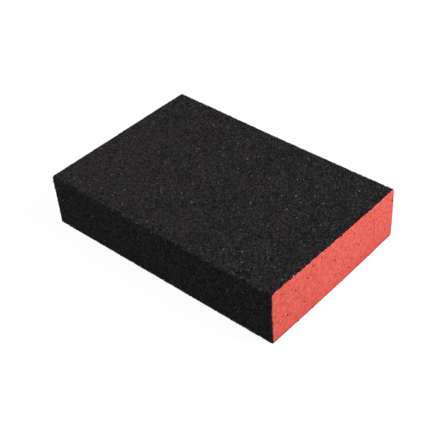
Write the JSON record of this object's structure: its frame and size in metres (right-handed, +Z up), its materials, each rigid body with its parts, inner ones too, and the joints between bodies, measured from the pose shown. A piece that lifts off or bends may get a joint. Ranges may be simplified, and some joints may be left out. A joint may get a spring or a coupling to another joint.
{
  "type": "sanding sponge",
  "caption": "Rectangular foam block wrapped on its two broad faces and two long edges in abrasive grain, with bare foam at its cut ends, for hand sanding.",
  "frame": {"origin": "middle of the underside that the block rests on", "axes": "+X along the length towards one cut end, +Y across the width, +Z up through the thickness"},
  "size_m": [0.1, 0.068, 0.0215],
  "materials": {
    "foam": "bare salmon-red fine-celled foam, matt, with open cells on the cut ends",
    "coat": "black abrasive grain bonded to the foam, rough, with glints from single grains"
  },
  "bodies": {
    "root": {"foam_core": "foam", "abrasive_coat": "coat"}
  },
  "joints": []
}
